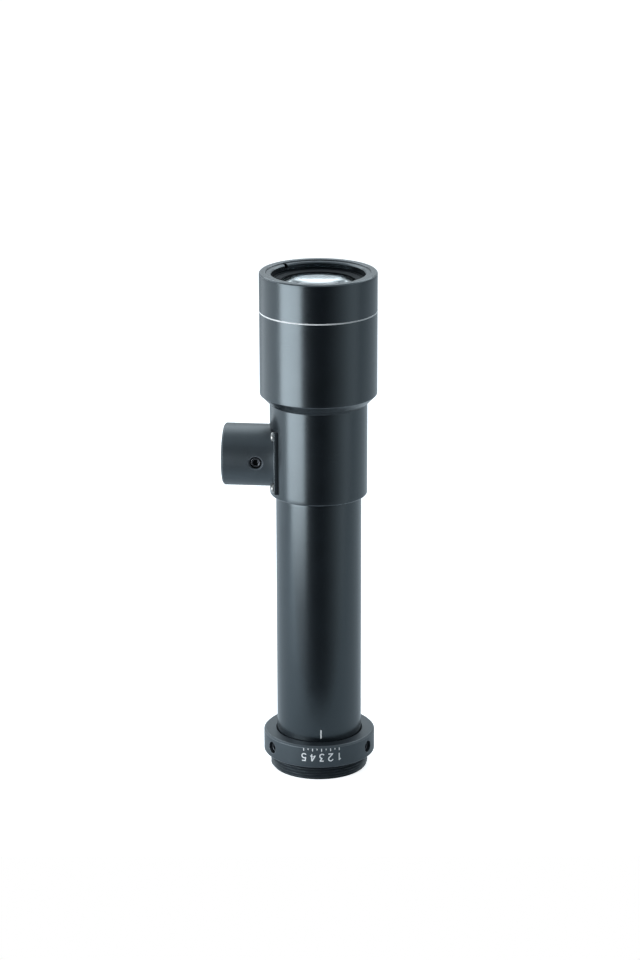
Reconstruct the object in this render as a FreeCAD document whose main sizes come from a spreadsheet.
import FreeCAD, Part
import math
import os
import re
import Sketcher
from FreeCAD import Placement, Rotation, Vector

# A telecentric machine-vision lens with a side port for coaxial light.
# Millimetres. The origin is the centre of the camera flange's face, +Z runs along the optical axis
# to the front lens, and the light port points to -X.

# Driving sizes, each written once. Lengths in mm, turns in degrees.
SIZES = {
    # Fits
    "fit_gap": 0.02,  # radial gap of a piece seated in a bore, and of two cut threads
    "turn_gap": 0.04,  # radial gap of the camera ring on the tube it turns on
    "screw_gap": 0.03,  # radial gap of a screw in its hole
    "cement_gap": 0.02,  # layer of cement between two glasses
    # Camera ring
    "thread_r": 12.7,  # outside of the 1 inch camera thread
    "thread_length": 4.0,
    "thread_bevel": 0.35,
    "thread_wall": 1.66,  # from the thread's outside in to the ring's bore
    "relief_width": 0.6,
    "relief_depth": 0.6,
    "undercut_depth": 0.15,  # the thread's relief also cuts this deep into the flange's face
    "undercut_reach": 0.1,  # and this far beyond the thread, so that the face seats clear of it
    "flange_width": 1.8,
    "mount_height": 6.0,
    "mount_upper_bevel": 0.45,
    "mount_lower_bevel": 0.3,
    "mount_mouth_bevel": 0.3,
    "mount_lip": 1.0,  # the lip that the tube's end rests on
    "mount_turn": -22.35,  # where the first clamp screw stands, from +X
    # Headless screws, of the ring and of the port
    "grub_r": 1.5,
    "grub_length": 3.0,
    "grub_bevel": 0.3,
    "socket_flat": 1.5,
    "socket_depth": 1.3,
    "grub_point_r": 0.3,
    "groove_depth": 0.6,  # the tube's groove that the ring's screws bear in
    "groove_gap": 0.03,
    # Main tube
    "tube_length": 73.7,
    "tube_bevel": 0.3,
    "rear_wall": 2.0,
    "rear_bore_depth": 21.0,
    "front_wall": 1.08,
    "front_bore_depth": 30.7,
    # Glare stop in the tube
    "baffle_seat": 0.5,
    "baffle_height": 2.0,
    "baffle_hole_r": 6.5,
    "baffle_flare": 1.2,
    # Rear lens group
    "rear_cell_wall": 1.9,
    "rear_cell_lip": 1.5,
    "rear_lens_step": 0.48,
    "rear_lens_seat": 0.9,
    "rear_flint_edge": 3.0,
    "rear_flint_curve": 40.0,
    "rear_joint_curve": 24.0,
    "rear_crown_edge": 2.4,
    "rear_crown_curve": 60.0,
    "rear_ring_height": 2.5,
    "rear_ring_recess": 0.3,
    "rear_lock_height": 2.5,
    # Splitter body
    "tube_step": 1.5,
    "rear_spigot_length": 6.0,
    "splitter_bevel": 0.3,
    "port_margin": 1.45,  # from the body's rear shoulder up to the milled flat
    "front_margin": 6.245,  # from the milled flat up to the body's front shoulder
    "spigot_step": 1.5,
    "front_spigot_length": 6.0,
    "spigot_wall": 3.0,
    "flat_wall": 1.33,
    "flat_gap": 0.05,
    "exit_r": 5.0,
    # Aperture stop
    "stop_wall": 1.7,
    "stop_thickness": 0.5,
    "stop_hole_r": 2.2,
    "stop_ring_height": 2.0,
    "stop_ring_width": 2.0,
    "stop_ring_recess": 0.3,
    # Beam splitter
    "corner_wall": 0.88,
    "holder_floor": 1.0,
    "window_border": 0.5,
    "prism_ring_height": 2.5,
    # Light port
    "port_r": 8.0,
    "port_length": 15.0,
    "port_flange": 1.27,
    "port_edge": 0.4,
    "port_mouth_bevel": 0.3,
    "port_bore_r": 4.0,  # takes an 8 mm light guide
    "guide_web": 0.5,
    "guide_stop": 0.5,
    "clamp_floor": 0.47,  # from the light guide's stop to the clamp screw's hole
    "clamp_recess": 0.7,
    "clamp_point_r": 1.0,
    "clamp_sink": 0.42,
    # Light port's flange screws
    "port_screw_r": 0.8,
    "port_screw_length": 4.0,
    "port_screw_room": 0.4,
    "port_head_r": 1.25,
    "port_head_height": 0.9,
    "port_head_round": 0.3,
    "cross_length": 1.5,
    "cross_width": 0.34,
    "cross_depth": 0.45,
    "head_gap": 0.37,
    "flange_margin": 0.15,
    # Condenser
    "condenser_pocket": 3.5,
    "condenser_r": 5.0,
    "condenser_seat": 0.6,
    "condenser_edge": 1.2,
    "condenser_curve": 9.0,
    "condenser_ring_height": 1.8,
    # Front barrel
    "barrel_step": 2.5,
    "barrel_length": 34.1,
    "rim_bevel": 0.3,
    "mouth_bevel": 0.2,
    "mouth_wall": 1.7,
    "cell_ledge": 1.0,
    "spigot_room": 0.2,
    "web_width": 2.0,
    "web_height": 2.3,
    # Front lens group
    "cell_lip": 1.2,
    "neck_wall": 0.58,
    "cell_neck": 0.8,
    "lens_step": 0.78,
    "lens_seat": 0.95,
    "back_lens_edge": 2.2,
    "back_lens_curve": 45.0,
    "spacer_height": 5.0,
    "flint_edge": 4.18,
    "joint_curve": 28.0,
    "crown_edge": 1.6,
    "crown_curve": 30.0,
    "thread_relief": 0.3,
    # Rings that hold the front group
    "lens_ring_height": 2.5,
    "lens_skirt": 1.8,  # how far the ring reaches down round the front lens
    "lens_ring_land": 0.68,
    "lens_ring_slope": 0.3,
    "lens_ring_recess": 0.1,
    "lock_width": 1.4,
    "lock_height": 2.5,
    "lock_recess": 0.3,
    "lock_bevel": 0.35,
    "lock_turn": 139.0,  # where the lock ring's slots stand, from +X
    "slot_width": 1.0,
    "slot_depth": 1.0,
    "lens_slot_depth": 0.5,  # shallower in the ring whose lip lies on the front lens
}

# Sizes that follow from the driving ones. A name that ends in _z is a height above the flange.
FITS = {
    # Camera ring and tube
    "mount_bore_r": "thread_r - thread_wall",
    "tube_r": "mount_bore_r - turn_gap",
    "mount_r": "thread_r + flange_width",
    "rear_bore_r": "tube_r - rear_wall",
    "mid_bore_r": "rear_bore_r - baffle_seat",
    "front_bore_r": "tube_r - front_wall",
    "spigot_r": "front_bore_r - fit_gap",
    "grub_hole_r": "grub_r + screw_gap",
    "clamp_z": "mount_height / 2",
    "groove_r": "tube_r - groove_depth",
    "tube_z": "mount_lip - thread_length",
    "tube_end_z": "tube_z + tube_length",
    # Rear lens group
    "rear_thread_r": "spigot_r - rear_cell_wall",
    "rear_lens_bore_r": "rear_thread_r - rear_lens_step",
    "rear_lens_r": "rear_lens_bore_r - fit_gap",
    "rear_clear_r": "rear_lens_r - rear_lens_seat",
    "rear_cell_z": "tube_end_z - front_bore_depth",
    "rear_crown_up": "rear_cell_lip + rear_flint_edge + cement_gap",
    "rear_ring_up": "rear_crown_up + rear_crown_edge",
    "rear_cell_height": "rear_ring_up + rear_ring_height + rear_ring_recess",
    # Splitter body
    "splitter_r": "tube_r + tube_step",
    "front_spigot_r": "splitter_r - spigot_step",
    "splitter_bore_r": "front_spigot_r - spigot_wall",
    "flat_reach": "splitter_bore_r + flat_wall",
    "stop_r": "spigot_r - stop_wall",
    "stop_pocket": "stop_thickness + stop_ring_height + stop_ring_recess",
    "screw_circle_r": "port_r + port_head_r + head_gap",
    "screw_offset": "screw_circle_r / sqrt(2)",
    "screw_hole_r": "port_screw_r + screw_gap",
    "port_half": "screw_offset + port_head_r + flange_margin",
    "flat_half": "port_half + flat_gap",
    "splitter_length": "port_margin + 2 * flat_half + front_margin",
    "splitter_z": "tube_end_z - rear_spigot_length",
    "port_up": "rear_spigot_length + port_margin + flat_half",
    "port_z": "splitter_z + port_up",
    # Beam splitter
    "holder_r": "splitter_bore_r - fit_gap",
    "cube_half": "(holder_r - corner_wall) / sqrt(2) - fit_gap",
    "window_r": "cube_half - window_border",
    "holder_height": "holder_floor + 2 * cube_half",
    "holder_z": "port_z - cube_half - holder_floor",
    # Light port
    "guide_floor": "condenser_pocket + guide_web",
    "guide_stop_r": "port_bore_r - guide_stop",
    "clamp_up": "guide_floor + clamp_floor + grub_hole_r",
    "condenser_clear_r": "condenser_r - condenser_seat",
    "condenser_up": "condenser_pocket - condenser_edge",
    # Front barrel and front lens group
    "barrel_z": "tube_end_z + splitter_length",
    "barrel_r": "splitter_r + barrel_step",
    "mouth_r": "barrel_r - mouth_wall",
    "cavity_r": "mouth_r - cell_ledge",
    "lock_bore_r": "mouth_r - lock_width",
    "neck_r": "lock_bore_r - fit_gap",
    "lens_thread_r": "neck_r - neck_wall",
    "lens_bore_r": "lens_thread_r - lens_step",
    "lens_r": "lens_bore_r - fit_gap",
    "lens_clear_r": "lens_r - lens_seat",
    "spacer_up": "cell_lip + back_lens_edge",
    "flint_up": "spacer_up + spacer_height",
    "crown_up": "flint_up + flint_edge + cement_gap",
    "lens_ring_up": "crown_up + crown_edge - lens_skirt",
    "cell_top": "lens_ring_up + lens_ring_height + lens_ring_recess",
    "cell_shoulder": "cell_top - cell_neck",
    "pocket_depth": "cell_shoulder + lock_height + lock_recess",
    "cell_z": "barrel_z + barrel_length - pocket_depth",
}

doc = FreeCAD.newDocument("telecentric_lens")
sub_parts = []


def bound(text):
    """The text of a size as the document's expressions need it, with each name's sheet before it."""
    def with_sheet(found):
        name = found[0]
        if name in SIZES:
            return "sizes." + name
        return "fits." + name if name in FITS else name
    return re.sub(r"[a-z]\w*", with_sheet, text)


def fill_sheets():
    """Writes the driving sizes into one sheet and the ones that follow from them into a second."""
    sizes = doc.addObject("Spreadsheet::Sheet", "sizes")
    for row, (name, number) in enumerate(SIZES.items(), start=1):
        sizes.set(f"A{row}", name)
        sizes.set(f"B{row}", str(number))
        sizes.setAlias(f"B{row}", name)
    fits = doc.addObject("Spreadsheet::Sheet", "fits")
    for row, name in enumerate(FITS, start=1):
        fits.set(f"A{row}", name)
        fits.setAlias(f"B{row}", name)
    for row, text in enumerate(FITS.values(), start=1):
        fits.set(f"B{row}", "=" + bound(text))
    doc.recompute()
    return fits


fits = fill_sheets()


def value(text):
    """The present value of a size given as text, worked out in a spare cell of the sheet."""
    fits.set("D1", "=" + bound(text))
    fits.recompute()
    return float(fits.get("D1"))


def sag(curve, reach):
    """How far a sphere of radius curve bulges over a circle of radius reach."""
    return f"({curve} - sqrt({curve} ^ 2 - ({reach}) ^ 2))"


# What every piece is drawn with


def new_body(name):
    """An empty body for one sub-part. Its label names the sub-part's file."""
    body = doc.addObject("PartDesign::Body", name)
    body.Label = name
    sub_parts.append(body)
    return body


def datum(body, role):
    """One of the body's own origin planes or axes, such as XZ_Plane."""
    return next(item for item in body.Origin.OriginFeatures if item.Role == role)


def new_sketch(body, role, lift="0"):
    """A sketch on one of the body's origin planes, lifted along that plane's normal."""
    sketch = body.newObject("Sketcher::SketchObject", body.Name + "_sketch")
    sketch.AttachmentSupport = (datum(body, role), "")
    sketch.MapMode = "FlatFace"
    if lift != "0":
        sketch.setExpression("AttachmentOffset.Base.z", bound(lift))
    return sketch


def fix_point(sketch, edge, point, across, up):
    """Binds a point of the sketch to its two distances from the sketch's origin."""
    for kind, text in (("DistanceX", across), ("DistanceY", up)):
        number = sketch.addConstraint(Sketcher.Constraint(kind, -1, 1, edge, point, value(text)))
        if text != "0":
            sketch.setExpression(f"Constraints[{number}]", bound(text))


def axis_arc(a, b):
    """The arc between a and b centred on the upright axis, and whether it runs anticlockwise from a."""
    middle = Vector(0, (b.x ** 2 + b.y ** 2 - a.x ** 2 - a.y ** 2) / (2 * (b.y - a.y)), 0)
    onward = (a - middle).cross(b - middle).z > 0
    first, last = (a, b) if onward else (b, a)
    circle = Part.Circle(middle, Vector(0, 0, 1), (a - middle).Length)
    turns = [math.atan2(end.y - middle.y, end.x - middle.x) for end in (first, last)]
    return Part.ArcOfCircle(circle, *turns), onward


def draw_outline(sketch, corners):
    """Draws a closed outline through corners given as (across, up).

    From a corner with "arc" as its third item, the outline runs to the next one in an arc that is
    centred on the upright axis. Otherwise it runs straight.
    """
    points = [Vector(value(corner[0]), value(corner[1]), 0) for corner in corners]
    first = sketch.GeometryCount
    starts = []
    for corner, start, end in zip(corners, points, points[1:] + points[:1]):
        onward = True
        if len(corner) == 3:
            arc, onward = axis_arc(start, end)
            number = sketch.addGeometry(arc)
            sketch.addConstraint(Sketcher.Constraint("PointOnObject", number, 3, -2))
        else:
            number = sketch.addGeometry(Part.LineSegment(start, end))
        starts.append(1 if onward else 2)
    for i, corner in enumerate(corners):
        after = (i + 1) % len(corners)
        joint = Sketcher.Constraint(
            "Coincident", first + i, 3 - starts[i], first + after, starts[after]
        )
        sketch.addConstraint(joint)
        fix_point(sketch, first + i, starts[i], corner[0], corner[1])


def draw_circle(sketch, across, up, radius):
    """Draws a circle at a place given as two distances from the sketch's origin."""
    centre = Vector(value(across), value(up), 0)
    edge = sketch.addGeometry(Part.Circle(centre, Vector(0, 0, 1), value(radius)))
    fix_point(sketch, edge, 3, across, up)
    number = sketch.addConstraint(Sketcher.Constraint("Radius", edge, value(radius)))
    sketch.setExpression(f"Constraints[{number}]", bound(radius))


def draw_box(sketch, left, right, low, high):
    """Draws a rectangle between two distances across and two up."""
    draw_outline(sketch, [(left, low), (right, low), (right, high), (left, high)])


def draw_axis(sketch, start, end):
    """Draws the construction line that a round feature is turned about."""
    ends = [Vector(value(across), value(up), 0) for across, up in (start, end)]
    edge = sketch.addGeometry(Part.LineSegment(*ends), True)
    fix_point(sketch, edge, 1, *start)
    fix_point(sketch, edge, 2, *end)


def add_feature(body, kind, sketch, **settings):
    """Adds a feature that is made from a sketch. A setting given as text follows the sheets."""
    feature = body.newObject(kind, body.Name + "_" + kind.split("::")[1].lower())
    feature.Profile = sketch
    for name, setting in settings.items():
        if name == "Length":
            feature.setExpression(name, bound(setting))
        else:
            setattr(feature, name, setting)
    return feature


def turn(body, corners, axis="V_Axis", kind="PartDesign::Revolution"):
    """Turns an outline on the body's XZ plane about the sketch's upright or level axis."""
    sketch = new_sketch(body, "XZ_Plane")
    draw_outline(sketch, corners)
    return add_feature(body, kind, sketch, ReferenceAxis=(sketch, [axis]), Angle=360)


def turned_body(name, corners, axis="V_Axis"):
    """A sub-part that is turned to an outline."""
    body = new_body(name)
    turn(body, corners, axis)
    return body


def cut_through(body, role, sketch_lines):
    """Cuts what sketch_lines draws on an origin plane right through the body, both ways."""
    sketch = new_sketch(body, role)
    sketch_lines(sketch)
    return add_feature(body, "PartDesign::Pocket", sketch, Type="ThroughAll", Midplane=True)


def cut_slots(body, top, depth="slot_depth"):
    """Cuts the two slots for a spanner across the top face of a ring."""
    def slot(sketch):
        low = f"{top} - {depth}"
        draw_box(sketch, "-slot_width / 2", "slot_width / 2", low, f"{top} + slot_depth")
    cut_through(body, "YZ_Plane", slot)


def repeat_round(body, features, count):
    """Repeats features round the body's own Z axis."""
    pattern = body.newObject("PartDesign::PolarPattern", body.Name + "_pattern")
    pattern.Originals = features
    pattern.Axis = (datum(body, "Z_Axis"), [""])
    pattern.Angle = 360
    pattern.Occurrences = count
    body.Tip = pattern


def place(body, rotation=Rotation(), **distances):
    """Turns a body, and ties its place along x, y or z to the sheets."""
    body.Placement = Placement(Vector(), rotation)
    for name, text in distances.items():
        body.setExpression(".Placement.Base." + name, bound(text))


def ring(name, bore_r, outer_r, height, z, slotted=True):
    """A plain threaded retaining ring, with spanner slots in its top face."""
    body = turned_body(name, [(bore_r, "0"), (outer_r, "0"), (outer_r, height), (bore_r, height)])
    if slotted:
        cut_slots(body, height)
    place(body, z=z)
    return body


# Camera ring, its clamp screws and the main tube


def make_mount_ring():
    """The ring that turns on the tube's end and carries the thread that screws into the camera."""
    top = "(thread_length + mount_height)"
    relief_r = "thread_r - relief_depth"
    relief_foot = "thread_length - relief_width"
    undercut_r = "thread_r + undercut_reach"
    undercut_top = "thread_length + undercut_depth"
    body = turned_body("mount_ring", [
        ("rear_bore_r", "0"),
        ("thread_r - thread_bevel", "0"),
        ("thread_r", "thread_bevel"),
        ("thread_r", relief_foot),
        (relief_r, relief_foot),
        (relief_r, undercut_top),
        (undercut_r, undercut_top),
        (undercut_r, "thread_length"),
        ("mount_r - mount_lower_bevel", "thread_length"),
        ("mount_r", "thread_length + mount_lower_bevel"),
        ("mount_r", f"{top} - mount_upper_bevel"),
        ("mount_r - mount_upper_bevel", top),
        ("mount_bore_r + mount_mouth_bevel", top),
        ("mount_bore_r", f"{top} - mount_mouth_bevel"),
        ("mount_bore_r", "mount_lip"),
        ("rear_bore_r", "mount_lip"),
    ])
    sketch = new_sketch(body, "YZ_Plane")
    draw_circle(sketch, "0", "thread_length + clamp_z", "grub_hole_r")
    hole = add_feature(body, "PartDesign::Pocket", sketch, Length="mount_r + 1", Reversed=True)
    repeat_round(body, [hole], 3)
    place(body, z="-thread_length")
    body.setExpression(".Placement.Rotation.Angle", bound("mount_turn * 1 deg"))


def make_grub_screw(name, tip, point_r):
    """A headless screw along its own X axis, from its point at tip out to its hexagon socket."""
    end = f"({tip} + grub_length)"
    body = turned_body(name, [
        (tip, "0"),
        (tip, point_r),
        (f"{tip} + grub_r - {point_r}", "grub_r"),
        (f"{end} - grub_bevel", "grub_r"),
        (end, "grub_r - grub_bevel"),
        (end, "0"),
    ], axis="H_Axis")
    corner, half_corner, half_flat = "socket_flat / sqrt(3)", "socket_flat / sqrt(12)", "socket_flat / 2"
    sketch = new_sketch(body, "YZ_Plane", lift=end)
    draw_outline(sketch, [
        (corner, "0"),
        (half_corner, half_flat),
        ("-" + half_corner, half_flat),
        ("-" + corner, "0"),
        ("-" + half_corner, "-" + half_flat),
        (half_corner, "-" + half_flat),
    ])
    add_feature(body, "PartDesign::Pocket", sketch, Length="socket_depth")
    return body


def make_mount_screws():
    """The three screws that clamp the ring, with their points in the tube's groove."""
    for number in range(3):
        name = f"mount_screw_{number + 1}"
        body = make_grub_screw(name, "(groove_r + grub_point_r + groove_gap)", "grub_point_r")
        place(body, z="clamp_z")
        body.setExpression(".Placement.Rotation.Angle", bound(f"(mount_turn + {120 * number}) * 1 deg"))


def make_main_tube():
    """The long tube, bored from both ends, with the ring's groove near its rear end."""
    groove = "(clamp_z - tube_z)"
    front_seat = "tube_length - front_bore_depth"
    body = turned_body("main_tube", [
        ("rear_bore_r", "0"),
        ("tube_r - tube_bevel", "0"),
        ("tube_r", "tube_bevel"),
        ("tube_r", f"{groove} - groove_depth"),
        ("groove_r", groove),
        ("tube_r", f"{groove} + groove_depth"),
        ("tube_r", "tube_length"),
        ("front_bore_r", "tube_length"),
        ("front_bore_r", front_seat),
        ("mid_bore_r", front_seat),
        ("mid_bore_r", "rear_bore_depth"),
        ("rear_bore_r", "rear_bore_depth"),
    ])
    place(body, z="tube_z")


def make_rear_baffle():
    """The flared glare stop, up against the step inside the tube's rear bore."""
    outer_r = "rear_bore_r - fit_gap"
    body = turned_body("rear_baffle", [
        ("baffle_hole_r", "0"),
        (outer_r, "0"),
        (outer_r, "baffle_height"),
        ("baffle_hole_r + baffle_flare", "baffle_height"),
    ])
    place(body, z="tube_z + rear_bore_depth - baffle_height")


# Rear lens group


def make_rear_group():
    """The rear cell on its step in the tube, its cemented pair and the two rings that hold them."""
    cell = turned_body("rear_lens_cell", [
        ("rear_clear_r", "0"),
        ("spigot_r", "0"),
        ("spigot_r", "rear_cell_height"),
        ("rear_thread_r", "rear_cell_height"),
        ("rear_thread_r", "rear_ring_up - thread_relief"),
        ("rear_lens_bore_r", "rear_ring_up - thread_relief"),
        ("rear_lens_bore_r", "rear_cell_lip"),
        ("rear_clear_r", "rear_cell_lip"),
    ])
    place(cell, z="rear_cell_z")
    joint_sag = sag("rear_joint_curve", "rear_lens_r")
    flint = turned_body("rear_flint_lens", [
        ("0", sag("rear_flint_curve", "rear_clear_r"), "arc"),
        ("rear_clear_r", "0"),
        ("rear_lens_r", "0"),
        ("rear_lens_r", "rear_flint_edge", "arc"),
        ("0", f"rear_flint_edge - {joint_sag}"),
    ])
    place(flint, z="rear_cell_z + rear_cell_lip")
    crown = turned_body("rear_crown_lens", [
        ("0", f"-{joint_sag}", "arc"),
        ("rear_lens_r", "0"),
        ("rear_lens_r", "rear_crown_edge"),
        ("rear_clear_r", "rear_crown_edge", "arc"),
        ("0", "rear_crown_edge + " + sag("rear_crown_curve", "rear_clear_r")),
    ])
    place(crown, z="rear_cell_z + rear_crown_up")
    ring("rear_retaining_ring", "rear_clear_r", "rear_thread_r - fit_gap", "rear_ring_height",
         "rear_cell_z + rear_ring_up")
    ring("rear_cell_lock_ring", "rear_thread_r", "spigot_r", "rear_lock_height",
         "rear_cell_z + rear_cell_height")


# Splitter body and what it holds


def make_splitter_body():
    """The middle body, with a spigot at each end and a milled flat for the light port."""
    shoulder = "rear_spigot_length"
    front = "(rear_spigot_length + splitter_length)"
    seat = "holder_z - splitter_z"
    body = turned_body("splitter_body", [
        ("stop_r + fit_gap", "0"),
        ("spigot_r", "0"),
        ("spigot_r", shoulder),
        ("splitter_r - splitter_bevel", shoulder),
        ("splitter_r", f"{shoulder} + splitter_bevel"),
        ("splitter_r", front),
        ("front_spigot_r", front),
        ("front_spigot_r", f"{front} + front_spigot_length"),
        ("splitter_bore_r", f"{front} + front_spigot_length"),
        ("splitter_bore_r", seat),
        ("exit_r", seat),
        ("exit_r", "stop_pocket"),
        ("stop_r + fit_gap", "stop_pocket"),
    ])

    def flat(sketch):
        draw_box(sketch, "-splitter_r - 1", "-flat_reach", "port_up - flat_half", "port_up + flat_half")
    cut_through(body, "XZ_Plane", flat)
    window = new_sketch(body, "YZ_Plane")
    draw_circle(window, "0", "port_up", "window_r")
    add_feature(body, "PartDesign::Pocket", window, Length="splitter_r")
    screws = new_sketch(body, "YZ_Plane", lift="-flat_reach")
    for across in ("-screw_offset", "screw_offset"):
        for up in ("port_up - screw_offset", "port_up + screw_offset"):
            draw_circle(screws, across, up, "screw_hole_r")
    depth = "port_screw_length - port_flange + port_screw_room"
    add_feature(body, "PartDesign::Pocket", screws, Length=depth, Reversed=True)
    place(body, z="splitter_z")


def make_aperture_stop():
    """The thin stop that sets the lens's aperture, and the ring that holds it in the rear spigot."""
    stop = turned_body("aperture_stop", [
        ("stop_hole_r", "0"),
        ("stop_r", "0"),
        ("stop_r", "stop_thickness"),
        ("stop_hole_r", "stop_thickness"),
    ])
    place(stop, z="splitter_z + stop_pocket - stop_thickness")
    ring("stop_retaining_ring", "stop_r - stop_ring_width", "stop_r", "stop_ring_height",
         "splitter_z + stop_ring_recess", slotted=False)


def make_prism_holder():
    """The round holder of the beam splitter, with a square pocket and a window towards the port."""
    body = turned_body("prism_holder", [
        ("0", "0"),
        ("holder_r", "0"),
        ("holder_r", "holder_height"),
        ("0", "holder_height"),
    ])
    side = "(cube_half + fit_gap)"
    pocket = new_sketch(body, "XY_Plane", lift="holder_height")
    draw_box(pocket, "-" + side, side, "-" + side, side)
    add_feature(body, "PartDesign::Pocket", pocket, Length="2 * cube_half")
    hole = new_sketch(body, "XY_Plane", lift="holder_height")
    draw_circle(hole, "0", "0", "window_r")
    add_feature(body, "PartDesign::Pocket", hole, Length="holder_height + 1")
    window = new_sketch(body, "YZ_Plane")
    draw_circle(window, "0", "holder_floor + cube_half", "window_r")
    add_feature(body, "PartDesign::Pocket", window, Length="holder_r + 1")
    place(body, z="holder_z")


def make_beam_splitter():
    """Two prisms cemented along the slope that turns the port's light towards the front lens."""
    side, height = "cube_half", "2 * cube_half"
    slopes = {
        "splitter_prism_lower": [("-" + side, "0"), (side, "0"), (side, height)],
        "splitter_prism_upper": [
            ("-" + side, "cement_gap"),
            (side + " - cement_gap", height),
            ("-" + side, height),
        ],
    }
    for name, corners in slopes.items():
        body = new_body(name)
        sketch = new_sketch(body, "XZ_Plane")
        draw_outline(sketch, corners)
        add_feature(body, "PartDesign::Pad", sketch, Length=height, Midplane=True)
        place(body, z="holder_z + holder_floor")
    ring("prism_lock_ring", "window_r", "holder_r", "prism_ring_height", "holder_z + holder_height")


# Light port, in its own frame: its Z axis runs outwards from the milled flat, which is row -X


def place_on_port(body, distance, spin=0):
    """Places a body on the port's axis, at a distance out from the milled flat."""
    out = Rotation(Vector(0, 1, 0), -90) * Rotation(Vector(0, 0, 1), spin)
    place(body, out, x=f"-(flat_reach + {distance})", z="port_z")


def make_light_port():
    """The port: a round tube on a square flange, bored for a light guide and for the condenser."""
    body = new_body("light_port")
    flange = new_sketch(body, "XY_Plane")
    draw_box(flange, "-port_half", "port_half", "-port_half", "port_half")
    add_feature(body, "PartDesign::Pad", flange, Length="port_flange")
    turn(body, [
        ("0", "0"),
        ("port_r", "0"),
        ("port_r", "port_length - port_edge"),
        ("port_r - port_edge", "port_length"),
        ("0", "port_length"),
    ])
    turn(body, [
        ("0", "0"),
        ("condenser_r + fit_gap", "0"),
        ("condenser_r + fit_gap", "condenser_pocket"),
        ("guide_stop_r", "condenser_pocket"),
        ("guide_stop_r", "guide_floor"),
        ("port_bore_r", "guide_floor"),
        ("port_bore_r", "port_length - port_mouth_bevel"),
        ("port_bore_r + port_mouth_bevel", "port_length"),
        ("0", "port_length"),
    ], kind="PartDesign::Groove")
    clamp = new_sketch(body, "YZ_Plane")
    draw_axis(clamp, ("0", "clamp_up"), ("-port_r", "clamp_up"))
    draw_outline(clamp, [
        ("-port_bore_r / 2", "clamp_up"),
        ("-port_r", "clamp_up"),
        ("-port_r", "clamp_up + grub_hole_r + clamp_sink"),
        ("-port_r + clamp_sink", "clamp_up + grub_hole_r"),
        ("-port_bore_r / 2", "clamp_up + grub_hole_r"),
    ])
    add_feature(body, "PartDesign::Groove", clamp, ReferenceAxis=(clamp, ["Axis0"]), Angle=360)
    screws = new_sketch(body, "XY_Plane", lift="port_flange")
    for across in ("-screw_offset", "screw_offset"):
        for up in ("-screw_offset", "screw_offset"):
            draw_circle(screws, across, up, "screw_hole_r")
    add_feature(body, "PartDesign::Pocket", screws, Length="port_flange")
    place_on_port(body, "0")


def make_port_screws():
    """The four pan-head screws at the flange's corners, one solid each."""
    body = new_body("port_flange_screws")
    body.AllowCompound = True
    head = "port_head_height"
    axis_x = "screw_circle_r"
    sketch = new_sketch(body, "XZ_Plane")
    draw_axis(sketch, (axis_x, "0"), (axis_x, head))
    draw_outline(sketch, [
        (axis_x, "-port_screw_length"),
        (f"{axis_x} + port_screw_r", "-port_screw_length"),
        (f"{axis_x} + port_screw_r", "0"),
        (f"{axis_x} + port_head_r", "0"),
        (f"{axis_x} + port_head_r", f"{head} - port_head_round"),
        (f"{axis_x} + port_head_r - port_head_round", head),
        (axis_x, head),
    ])
    screw = add_feature(body, "PartDesign::Revolution", sketch,
                        ReferenceAxis=(sketch, ["Axis0"]), Angle=360)
    cross = new_sketch(body, "XY_Plane", lift=head)
    arm, half = "cross_length / 2", "cross_width / 2"
    left, right = f"{axis_x} - {half}", f"{axis_x} + {half}"
    draw_outline(cross, [
        (left, "-" + arm), (right, "-" + arm), (right, "-" + half),
        (f"{axis_x} + {arm}", "-" + half), (f"{axis_x} + {arm}", half), (right, half),
        (right, arm), (left, arm), (left, half),
        (f"{axis_x} - {arm}", half), (f"{axis_x} - {arm}", "-" + half), (left, "-" + half),
    ])
    recess = add_feature(body, "PartDesign::Pocket", cross, Length="cross_depth")
    repeat_round(body, [screw, recess], 4)
    place_on_port(body, "port_flange", spin=45)


def make_condenser():
    """The lens that spreads the guide's light over the splitter, and the ring that holds it."""
    bulge = sag("condenser_curve", "condenser_clear_r")
    lens = turned_body("condenser_lens", [
        ("0", f"-{bulge}", "arc"),
        ("condenser_clear_r", "0"),
        ("condenser_r", "0"),
        ("condenser_r", "condenser_edge"),
        ("0", "condenser_edge"),
    ])
    place_on_port(lens, "condenser_up")
    keeper = turned_body("condenser_ring", [
        ("condenser_clear_r", "0"),
        ("condenser_r", "0"),
        ("condenser_r", "condenser_ring_height"),
        ("condenser_clear_r", "condenser_ring_height"),
    ])
    place_on_port(keeper, "condenser_up - condenser_ring_height")


def make_clamp_screw():
    """The screw in the port's side that holds the light guide, pointing at row -Y."""
    screw = make_grub_screw("port_clamp_screw", "(port_r - clamp_recess - grub_length)", "clamp_point_r")
    place(screw, Rotation(Vector(0, 0, 1), -90), x="-(flat_reach + clamp_up)", z="port_z")


# Front barrel and front lens group


def make_front_barrel():
    """The wide front barrel, screwed on the splitter body, with the lens cell's pocket in its mouth."""
    pocket = "(barrel_length - pocket_depth)"
    socket_r = "front_spigot_r + fit_gap"
    socket = "(front_spigot_length + spigot_room)"
    web_r = "front_spigot_r - web_width"
    body = turned_body("front_barrel", [
        (socket_r, "0"),
        ("splitter_r", "0"),
        ("barrel_r", "barrel_step"),
        ("barrel_r", "barrel_length - rim_bevel"),
        ("barrel_r - rim_bevel", "barrel_length"),
        ("mouth_r + mouth_bevel", "barrel_length"),
        ("mouth_r", "barrel_length - mouth_bevel"),
        ("mouth_r", pocket),
        ("cavity_r", pocket),
        ("cavity_r", f"{socket} + web_height"),
        (web_r, f"{socket} + web_height"),
        (web_r, socket),
        (socket_r, socket),
    ])
    place(body, z="barrel_z")


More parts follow.
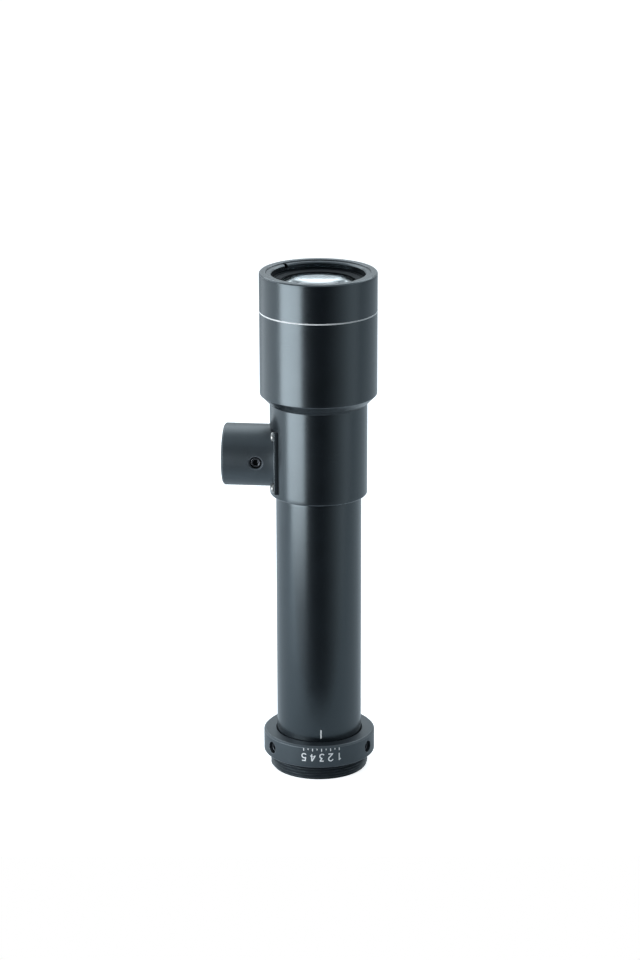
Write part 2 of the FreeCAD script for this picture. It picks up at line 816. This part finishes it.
def make_front_cell():
    """The cell that the front lenses are stacked in, with a neck that the lock ring fits round."""
    outer_r = "mouth_r - fit_gap"
    step = "lens_ring_up - thread_relief"
    body = turned_body("objective_cell", [
        ("lens_clear_r", "0"),
        (outer_r, "0"),
        (outer_r, "cell_shoulder"),
        ("neck_r", "cell_shoulder"),
        ("neck_r", "cell_top"),
        ("lens_thread_r", "cell_top"),
        ("lens_thread_r", step),
        ("lens_bore_r", step),
        ("lens_bore_r", "cell_lip"),
        ("lens_clear_r", "cell_lip"),
    ])
    place(body, z="cell_z")


def make_front_lenses():
    """The front group: a single lens on the cell's lip, a spacer, and a cemented pair above it."""
    back = turned_body("objective_back_lens", [
        ("0", "0"),
        ("lens_r", "0"),
        ("lens_r", "back_lens_edge"),
        ("lens_clear_r", "back_lens_edge", "arc"),
        ("0", "back_lens_edge + " + sag("back_lens_curve", "lens_clear_r")),
    ])
    place(back, z="cell_z + cell_lip")
    ring("objective_spacer", "lens_clear_r", "lens_r", "spacer_height", "cell_z + spacer_up",
         slotted=False)
    joint_sag = sag("joint_curve", "lens_r")
    flint = turned_body("objective_flint_lens", [
        ("0", "0"),
        ("lens_r", "0"),
        ("lens_r", "flint_edge", "arc"),
        ("0", f"flint_edge - {joint_sag}"),
    ])
    place(flint, z="cell_z + flint_up")
    crown = turned_body("objective_crown_lens", [
        ("0", f"-{joint_sag}", "arc"),
        ("lens_r", "0"),
        ("lens_r", "crown_edge"),
        ("lens_clear_r", "crown_edge", "arc"),
        ("0", "crown_edge + " + sag("crown_curve", "lens_clear_r")),
    ])
    place(crown, z="cell_z + crown_up")


def make_front_rings():
    """The ring whose lip holds the front lens, and the slotted ring that locks the cell."""
    outer_r = "lens_thread_r - fit_gap"
    keeper = turned_body("front_retaining_ring", [
        ("lens_bore_r", "0"),
        (outer_r, "0"),
        (outer_r, "lens_ring_height"),
        (f"{outer_r} - lens_ring_land", "lens_ring_height"),
        ("lens_clear_r", "lens_ring_height - lens_ring_slope"),
        ("lens_clear_r", "lens_skirt"),
        ("lens_bore_r", "lens_skirt"),
    ])
    cut_slots(keeper, "lens_ring_height", "lens_slot_depth")
    place(keeper, z="cell_z + lens_ring_up")
    lock_r = "mouth_r - fit_gap"
    lock = turned_body("front_lock_ring", [
        ("lock_bore_r", "0"),
        (lock_r, "0"),
        (lock_r, "lock_height"),
        ("lock_bore_r + lock_bevel", "lock_height"),
        ("lock_bore_r", "lock_height - lock_bevel"),
    ])
    cut_slots(lock, "lock_height")
    place(lock, z="cell_z + cell_shoulder")
    lock.setExpression(".Placement.Rotation.Angle", bound("lock_turn * 1 deg"))


def check_and_write():
    """Stops at any failed feature or bad shape, then writes one STEP file for each sub-part."""
    for item in doc.Objects:
        if "Invalid" in item.State or "Error" in item.State:
            raise RuntimeError(f"{item.Label} failed: {item.State}")
    for item in sub_parts:
        if item.Shape.isNull() or not item.Shape.isValid() or not item.Shape.Solids:
            raise RuntimeError(f"{item.Label} has no valid solid")
    os.makedirs("parts", exist_ok=True)
    for item in sub_parts:
        item.Shape.exportStep(f"parts/{item.Label}.step")


make_mount_ring()
make_mount_screws()
make_main_tube()
make_rear_baffle()
make_rear_group()
make_splitter_body()
make_aperture_stop()
make_prism_holder()
make_beam_splitter()
make_light_port()
make_port_screws()
make_condenser()
make_clamp_screw()
make_front_barrel()
make_front_cell()
make_front_lenses()
make_front_rings()
fits.clear("D1")
doc.recompute()
check_and_write()
